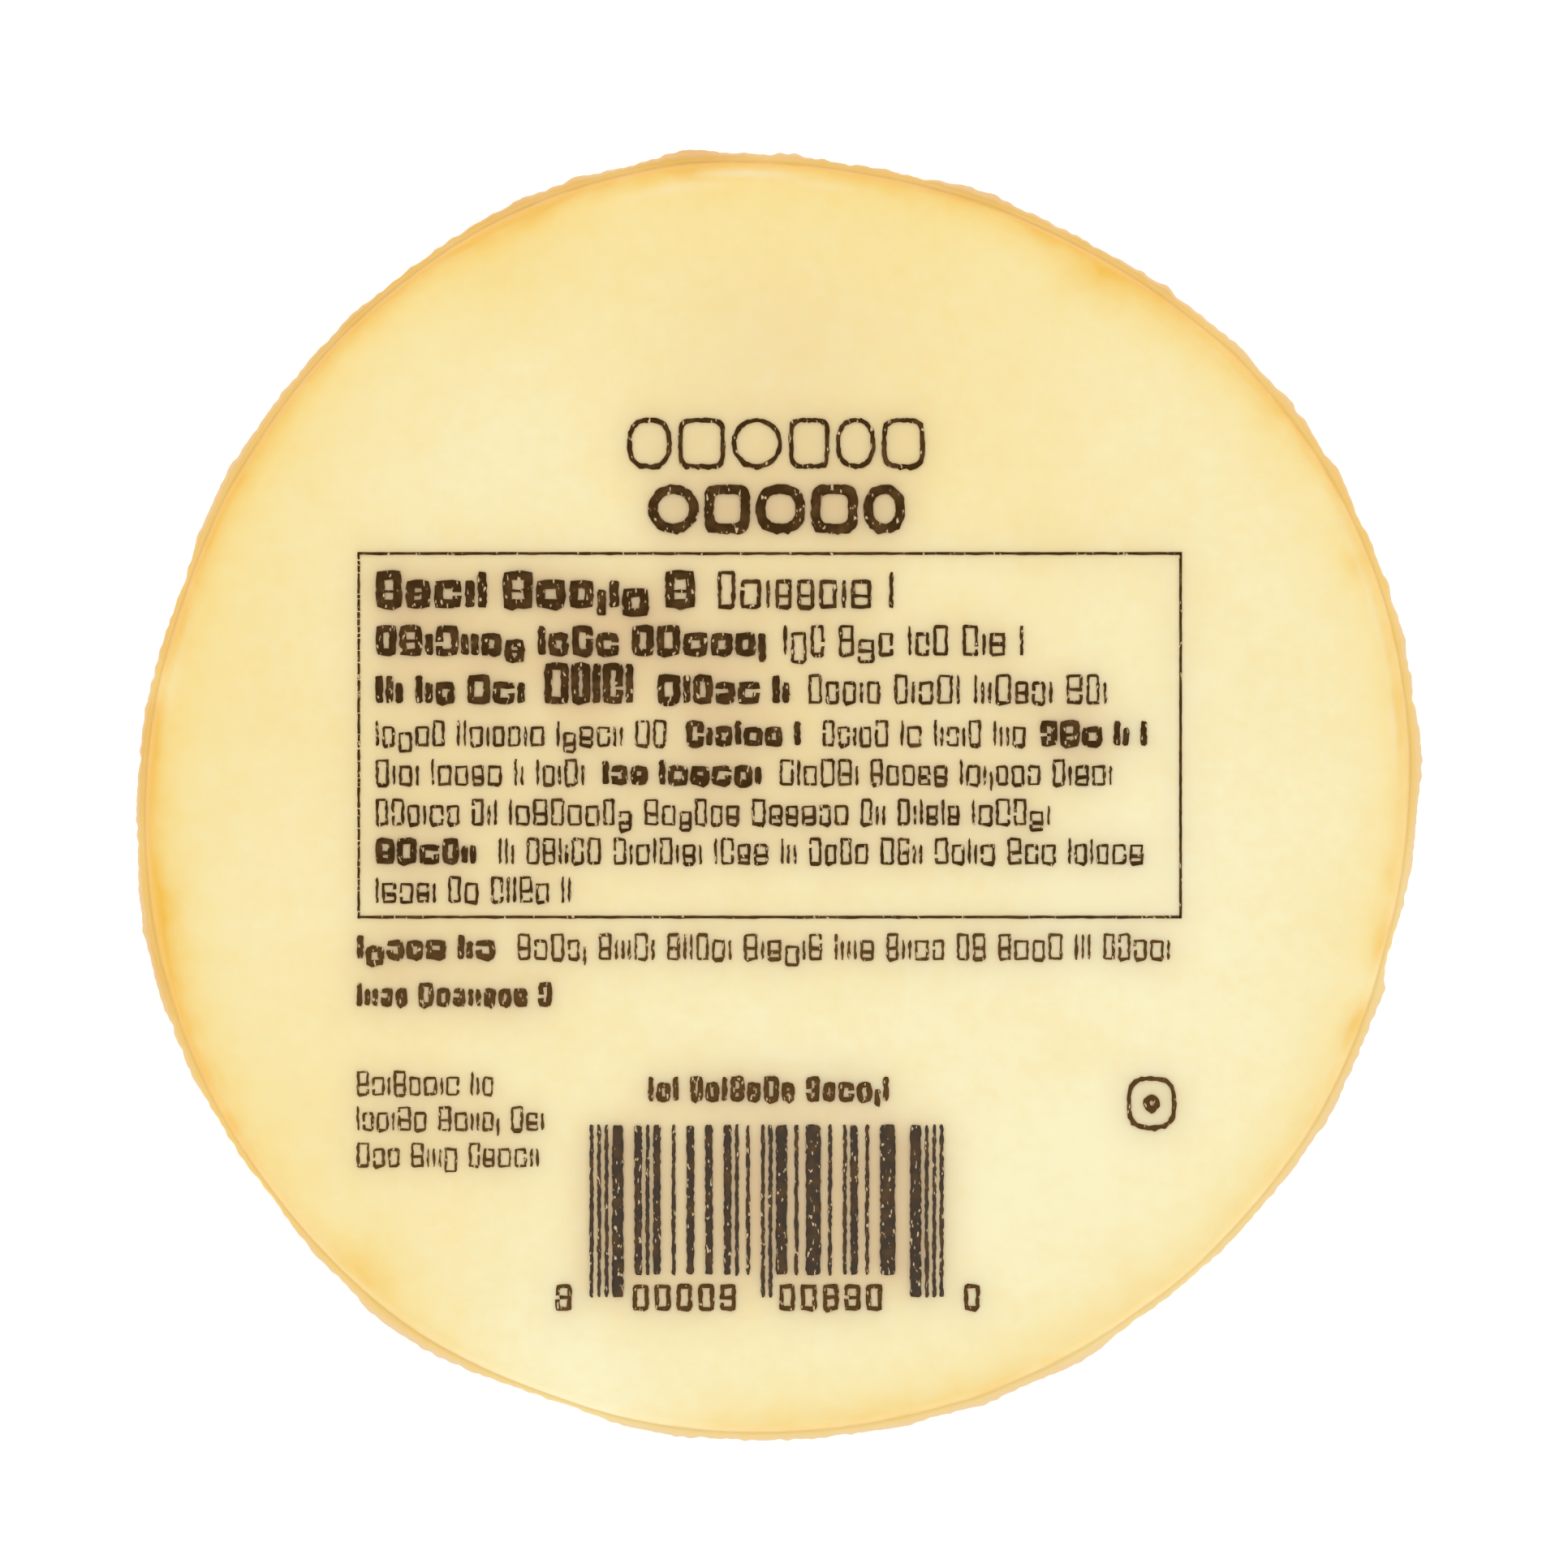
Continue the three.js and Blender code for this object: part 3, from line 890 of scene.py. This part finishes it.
def ring(bm, x, y, wide, tall, stroke, fullness, look, draw):
    """A closed line round an oval, or round a squarer shape where its fullness is over 2."""
    often, far = RING_RUN
    steps = max(12, 4 * round((wide + tall) / 2.5 / look.beading))
    outer = bmesh.ops.create_circle(bm, segments=steps, radius=1)["verts"]
    outline = list({edge for vert in outer for edge in vert.link_edges})
    made = bmesh.ops.extrude_edge_only(bm, edges=outline)
    inner = [item for item in made["geom"] if isinstance(item, bmesh.types.BMVert)]
    for verts, trim in ((outer, 0), (inner, stroke)):
        for vert in verts:
            squared = (abs(vert.co.x) ** fullness + abs(vert.co.y) ** fullness) ** (-1 / fullness)
            stray = 2 * draw.uniform(-1, 1) * look.wobble / wide
            if trim == 0 and vert.co.y < -0.7 and draw.random() < often:
                stray += far * look.wobble / tall
            across = vert.co.x * (squared + stray) * (wide / 2 - trim)
            up = vert.co.y * (squared + stray) * (tall / 2 - trim)
            vert.co = (x + wide / 2 + across, y + tall / 2 + up, 0)


def print_run(bm, x, y, height, weight, length, look, draw):
    """Fills one run with word-like groups of plain upright bars and open frames."""
    stroke, wide, space = (share * height for share in WEIGHTS[weight])
    if weight == "tall":
        height *= TALL_HEIGHT
    end = x + length
    left_in_word, first = draw.randint(*FIRST_WORD), True
    while x < end - stroke:
        tall = height if first or weight == "tall" or draw.random() < TALL else LOW_HEIGHT * height
        foot = y - HANG * height if not first and draw.random() < HANGING else y
        if draw.random() < PLAIN or x + wide > end:
            bar(bm, x, foot, stroke, tall, look, draw)
            x += stroke + space
        else:
            this_wide = wide * draw.uniform(0.88, 1.12)
            open_frame(bm, x, foot, this_wide, tall, stroke, look, draw)
            x += this_wide + space
        left_in_word, first = left_in_word - 1, False
        if left_in_word == 0:
            left_in_word, first = draw.randint(*LATER_WORD), True
            x += WORD_SPACE * height


def print_stripes(bm, look, draw):
    """Stripes of one to four modules, drawn at random, between longer ones at the ends and middle."""
    left, foot, tall, module, modules, hang = STRIPES
    half = modules // 2
    longer = {
        0: 1, 2: 1, 4: 1, 6: 3, half - 1: 1, half + 1: 1,
        modules - 9: 3, modules - 5: 1, modules - 3: 1, modules - 1: 1,
    }
    places = sorted(longer)
    for at, next_place in zip(places, [*places[1:], modules]):
        wide, down = longer[at], hang
        while at < next_place:
            ink = (wide - STRIPE_LOSS) * module
            bar(bm, *metres(left + at * module, foot - down, ink, tall + down), look, draw)
            at += wide + draw.choice((1, 1, 2, 2, 3))
            wide, down = draw.choice((1, 1, 1, 2, 2, 3, 4)), 0
            if at + wide >= next_place:
                break


def print_panel(bm, look, draw):
    """Three unbroken rules and, at the left, a thin one that has broken into dashes."""
    left, foot, wide, tall, line = metres(*PANEL)
    calm = RULE_WOBBLE * look.wobble
    across = lines(left, left + wide, FRAME_CELL)
    rough_grid(bm, across, (foot, foot + line), calm, draw, 0)
    rough_grid(bm, across, (foot + tall - line, foot + tall), calm, draw, 0)
    rough_grid(bm, (left + wide - line, left + wide), lines(foot, foot + tall, RULE_CELL), calm, draw, 0)
    y = foot
    while y < foot + tall:
        dash = draw.choice(DASHES) * MM
        up = lines(y, min(y + dash, foot + tall), look.beading)
        rough_grid(bm, (left, left + 0.95 * line), up, 2 * calm, draw, 0)
        y += dash + draw.uniform(*DASH_GAP) * MM


def laid_on_face(context, bm, name, material):
    """Bends flat marks to the underside of the film and gives them the ink's thickness."""
    form, look = context.scene.gouda_round, context.scene.gouda_print
    bm.normal_update()
    bmesh.ops.reverse_faces(bm, faces=[face for face in bm.faces if face.normal.z < 0])
    for vert in bm.verts:
        vert.co.z = face_height(form, vert.co.x, vert.co.y) - look.depth
    bmesh.ops.solidify(bm, geom=bm.faces[:], thickness=look.thickness)
    return finished(context, bm, name, material)


class GOUDA_OT_cheese(bpy.types.Operator):
    """Make the round of cheese inside the film, with shade painted where print lies over it"""

    bl_idname = "gouda.cheese"
    bl_label = "Cheese"

    def execute(self, context):
        form, film = context.scene.gouda_round, context.scene.gouda_film
        bm = spun(section(form, CHEESE_SEAM, CHEESE_RINGS), CHEESE_STEPS)
        make_uneven(bm, form)
        printed = [piece for piece in context.scene.objects if piece.name in PRINTED]
        note_colours(bm, form, ink_cover(printed))
        bm.normal_update()
        level = levels(form)
        for vert in bm.verts:
            share = smoothstep(level.foot, level.top, vert.co.z)
            vert.co -= vert.normal * lerp(film.tight_gap, film.gap, share)
        finished(context, bm, "cheese_round", cheese_material(context.scene.gouda_cheese))
        return {"FINISHED"}


class GOUDA_OT_film(bpy.types.Operator):
    """Draw the clear film tight round the cheese, with its seam"""

    bl_idname = "gouda.film"
    bl_label = "Film"

    def execute(self, context):
        form = context.scene.gouda_round
        bm = spun(section(form, FILM_SEAM, FILM_RINGS), FILM_STEPS)
        make_uneven(bm, form)
        wrinkle(bm, form)
        piece = finished(context, bm, "vacuum_film", film_material(context.scene.gouda_film))
        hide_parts(NODE)
        return {"FINISHED"}


class GOUDA_OT_print(bpy.types.Operator):
    """Print the rows of marks, the ruled panel and the stripes on the underside of the film"""

    bl_idname = "gouda.print"
    bl_label = "Print"

    def execute(self, context):
        look = context.scene.gouda_print
        draw = random.Random(look.seed)
        material = ink_material("brown_printing_ink", look.ink, look)
        light_material = ink_material("light_brown_printing_ink", look.light_ink, look)
        dull_material = ink_material("dull_brown_printing_ink", look.stripe_ink, look)

        for name, rows, ink in (
            ("panel_rows", PANEL_ROWS, material), ("lower_rows", LOWER_ROWS, light_material),
        ):
            bm = bmesh.new()
            for x, y, height, runs in rows:
                for weight, length in runs:
                    print_run(bm, *metres(x, y, height), weight, length * MM, look, draw)
                    x += length + RUN_SPACE
            laid_on_face(context, bm, name, ink)

        bm = bmesh.new()
        for x, y, tall, stroke, space, rings in HEADINGS:
            for wide, fullness in rings:
                ring(bm, *metres(x, y, wide, tall, stroke), fullness, look, draw)
                x += wide + space
        laid_on_face(context, bm, "heading_rings", material)

        bm = bmesh.new()
        print_panel(bm, look, draw)
        laid_on_face(context, bm, "panel_rules", material)

        bm = bmesh.new()
        print_stripes(bm, look, draw)
        laid_on_face(context, bm, "stripes", dull_material)

        bm = bmesh.new()
        for x, count in UNDER_STRIPES:
            for i in range(count):
                open_frame(bm, *metres(x + UNDER_PITCH * i, UNDER_FOOT, *UNDER_SIZE), look, draw)
        for *measures, fullness in ROUND_MARK:
            ring(bm, *metres(*measures), fullness, look, draw)
        laid_on_face(context, bm, "small_marks", light_material)
        return {"FINISHED"}


class GOUDA_OT_stage(bpy.types.Operator):
    """Set the floor, the soft lights and the camera"""

    bl_idname = "gouda.stage"
    bl_label = "Stage"

    def execute(self, context):
        scene = context.scene
        look, form = scene.gouda_stage, scene.gouda_round
        scene.view_settings.view_transform = "Standard"

        bm = bmesh.new()
        bmesh.ops.create_grid(bm, x_segments=1, y_segments=1, size=SWEEP_REACH)
        mesh = bpy.data.meshes.new("floor")
        bm.to_mesh(mesh)
        bm.free()
        floor = bpy.data.objects.new("floor", mesh)
        scene.collection.objects.link(floor)
        material, add = new_material("white_paper_sweep")
        shader = add("ShaderNodeBsdfPrincipled", {
            "Base Color": rgba(look.floor), "Roughness": 0.9, "Specular IOR Level": 0.0,
            "Emission Color": (1, 1, 1, 1), "Emission Strength": SWEEP_GLOW,
        })
        add("ShaderNodeOutputMaterial", Surface=shader)
        mesh.materials.append(material)

        world = bpy.data.worlds.new("studio")
        scene.world = world
        world.use_nodes = True
        sky = world.node_tree.nodes["Background"]
        sky.inputs["Color"].default_value = (1, 1, 1, 1)
        sky.inputs["Strength"].default_value = look.sky

        for i, power in enumerate((look.key, look.fill, look.fill)):
            name = f"softbox_{i}"
            lamp = bpy.data.lights.new(name, "AREA")
            lamp.shape = "DISK"
            lamp.size = LIGHT_WIDTH
            lamp.energy = power
            light = bpy.data.objects.new(name, lamp)
            turn = math.radians(120 + 120 * i)
            light.location = (LIGHT_OUT * math.cos(turn), LIGHT_OUT * math.sin(turn), LIGHT_HEIGHT)
            light.rotation_euler = (-light.location).to_track_quat("-Z", "Y").to_euler()
            scene.collection.objects.link(light)

        lens = bpy.data.cameras.new("camera")
        lens.lens = FOCAL_LENGTH
        lens.sensor_width = SENSOR_WIDTH
        lens.clip_start, lens.clip_end = 0.01, 10
        camera = bpy.data.objects.new("camera", lens)
        away = FRAME_PIXELS / PIXELS_PER_MM * MM / SENSOR_WIDTH * FOCAL_LENGTH
        shift_x, shift_y = box_middle(form.diameter)
        x, y = metres(*FRAME_MIDDLE)
        camera.location = (x - shift_x, y - shift_y, levels(form).seam + away)
        scene.collection.objects.link(camera)
        scene.camera = camera
        return {"FINISHED"}


class GOUDA_PT_panel(bpy.types.Panel):
    bl_idname = "GOUDA_PT_panel"
    bl_label = "Smoked gouda"
    bl_space_type = "VIEW_3D"
    bl_region_type = "UI"
    bl_category = "Gouda"

    def draw(self, context):
        for operator in OPERATORS:
            self.layout.operator(operator.bl_idname)


SETTINGS = {
    "gouda_round": RoundSettings,
    "gouda_cheese": CheeseSettings,
    "gouda_film": FilmSettings,
    "gouda_print": PrintSettings,
    "gouda_stage": StageSettings,
}
OPERATORS = (GOUDA_OT_print, GOUDA_OT_cheese, GOUDA_OT_film, GOUDA_OT_stage)
CLASSES = (*SETTINGS.values(), *OPERATORS, GOUDA_PT_panel)


def register():
    for cls in CLASSES:
        bpy.utils.register_class(cls)
    for name, cls in SETTINGS.items():
        setattr(bpy.types.Scene, name, PointerProperty(type=cls))


def unregister():
    for name in SETTINGS:
        delattr(bpy.types.Scene, name)
    for cls in reversed(CLASSES):
        bpy.utils.unregister_class(cls)


def main():
    register()
    bpy.ops.gouda.print()
    bpy.ops.gouda.cheese()
    bpy.ops.gouda.film()
    bpy.ops.gouda.stage()


if __name__ == "__main__":
    main()
